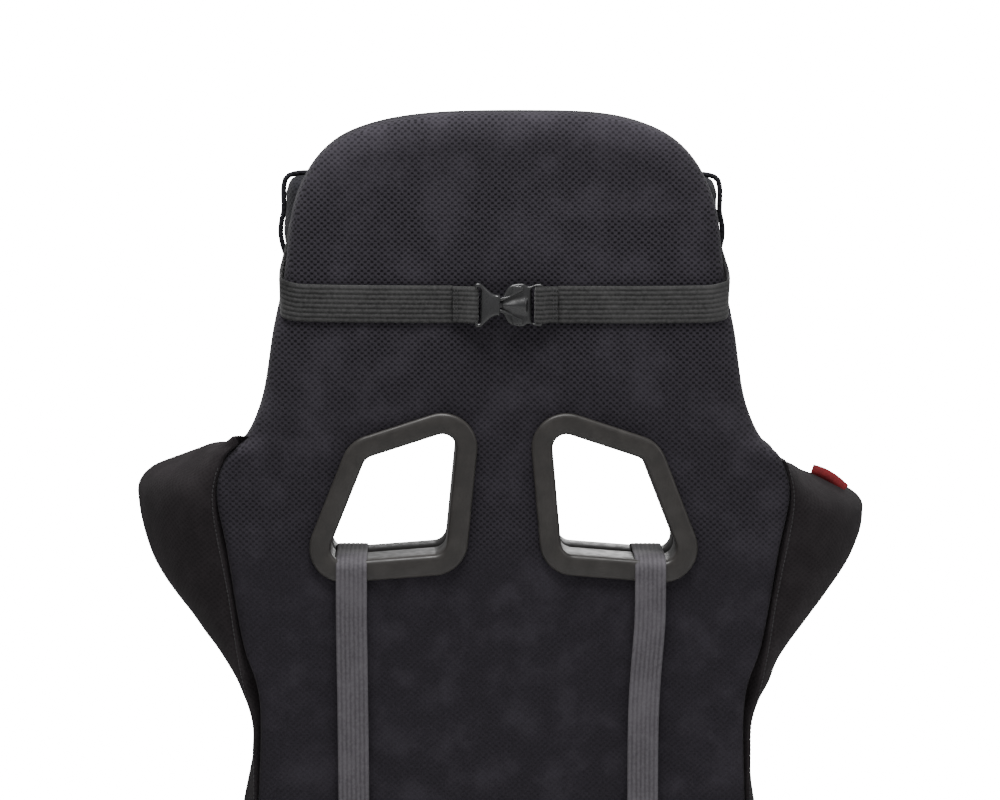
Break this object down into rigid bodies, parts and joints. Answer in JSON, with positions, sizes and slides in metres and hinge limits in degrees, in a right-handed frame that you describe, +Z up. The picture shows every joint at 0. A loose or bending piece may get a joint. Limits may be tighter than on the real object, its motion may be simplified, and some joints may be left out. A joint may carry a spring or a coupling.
{
  "type": "reclining racing seat",
  "caption": "Cloth-covered reclining racing seat with harness openings, side wings, strapped head and lumbar pillows, on lockable floor slides.",
  "frame": {"origin": "centre of the four floor bolts, at the underside of the lower rails", "axes": "+Y is where the occupant faces, +X is the occupant's right, +Z is up"},
  "size_m": [0.616, 0.7131, 0.9284],
  "materials": {
    "rail_steel": "zinc plated rolled steel",
    "slide_polymer": "white acetal",
    "frame_paint": "satin black powder coat",
    "elastic_web": "woven elastic webbing",
    "seat_cloth": "black woven seat cloth, bird's-eye weave",
    "wing_cloth": "black woven seat cloth on the side wings and bolsters",
    "cover_cloth": "black woven cloth over the back panel, diamond weave",
    "pillow_cloth": "soft black cloth on the loose cushions",
    "plate_steel": "blanked and zinc plated steel",
    "bolt_steel": "black oxide bolts",
    "spring_steel": "oiled spring steel",
    "cover_plastic": "grained black moulding",
    "bezel_plastic": "satin dark grey moulding",
    "buckle_plastic": "polished black moulding",
    "strap_elastic": "ribbed dark grey elastic",
    "grip_rubber": "moulded black rubber",
    "tag_cloth": "plain red woven tape"
  },
  "bodies": {
    "floor_rails": {"lower_rail_left": "rail_steel", "lower_rail_right": "rail_steel"},
    "seat_base": {"upper_rail_left": "rail_steel", "upper_rail_right": "rail_steel", "slide_pads": "slide_polymer", "base_frame": "frame_paint", "seat_webbing": "elastic_web", "base_foam": "seat_cloth", "base_bolster_left": "wing_cloth", "base_bolster_right": "wing_cloth", "recliner_lower_plate_left": "plate_steel", "recliner_lower_plate_right": "plate_steel", "hinge_pin_left": "plate_steel", "hinge_pin_right": "plate_steel", "frame_bolts": "bolt_steel", "recliner_cover_left": "cover_plastic", "recliner_cover_right": "cover_plastic", "recline_spring": "spring_steel", "lever_spring": "spring_steel"},
    "release_bar": {"slide_release_bar": "frame_paint", "release_grip": "grip_rubber"},
    "recline_handle": {"recline_lever": "plate_steel", "lever_grip": "grip_rubber", "release_shaft": "plate_steel", "lock_pawl_left": "plate_steel", "lock_pawl_right": "plate_steel"},
    "backrest": {"rear_cover": "cover_cloth", "backrest_foam": "seat_cloth", "wing_left": "wing_cloth", "wing_right": "wing_cloth", "backrest_frame": "frame_paint", "back_webbing": "elastic_web", "bezel_rear_left": "bezel_plastic", "bezel_rear_right": "bezel_plastic", "bezel_front_left": "bezel_plastic", "bezel_front_right": "bezel_plastic", "recliner_upper_plate_left": "plate_steel", "recliner_upper_plate_right": "plate_steel", "backrest_bolts": "bolt_steel", "head_pillow": "pillow_cloth", "head_strap_left": "strap_elastic", "head_strap_right": "strap_elastic", "strap_end_right": "strap_elastic", "buckle_female": "buckle_plastic", "lumbar_cushion": "pillow_cloth", "lumbar_strap_left": "strap_elastic", "lumbar_strap_right": "strap_elastic", "strap_slider_left": "buckle_plastic", "strap_slider_right": "buckle_plastic", "side_tag": "tag_cloth"},
    "buckle_tongue": {"buckle_male": "buckle_plastic", "buckle_prongs": "buckle_plastic", "strap_end_left": "strap_elastic"}
  },
  "joints": [
    {"name": "seat_slide", "type": "slide", "parent": "floor_rails", "child": "seat_base", "axis": [0, 1, 0], "range_m": [-0.11, 0.11]},
    {"name": "release_bar_lift", "type": "hinge", "parent": "seat_base", "child": "release_bar", "pos_m": [0, 0.165, 0.038], "axis": [1, 0, 0], "range_deg": [0, 6], "stiffness_Nm_per_rad": 4, "springref_deg": -2.86},
    {"name": "recline", "type": "hinge", "parent": "seat_base", "child": "backrest", "pos_m": [0, -0.19, 0.17], "axis": [1, 0, 0], "range_deg": [-16, 48], "deforming": ["recline_spring"]},
    {"name": "recline_lever_lift", "type": "hinge", "parent": "seat_base", "child": "recline_handle", "pos_m": [0, -0.15, 0.108], "axis": [1, 0, 0], "range_deg": [0, 15], "stiffness_Nm_per_rad": 3, "springref_deg": -5.73, "deforming": ["lever_spring"]},
    {"name": "buckle_release", "type": "slide", "parent": "backrest", "child": "buckle_tongue", "axis": [-1, 0, 0], "range_m": [0, 0.024], "deforming": ["head_strap_left", "buckle_prongs"]}
  ]
}
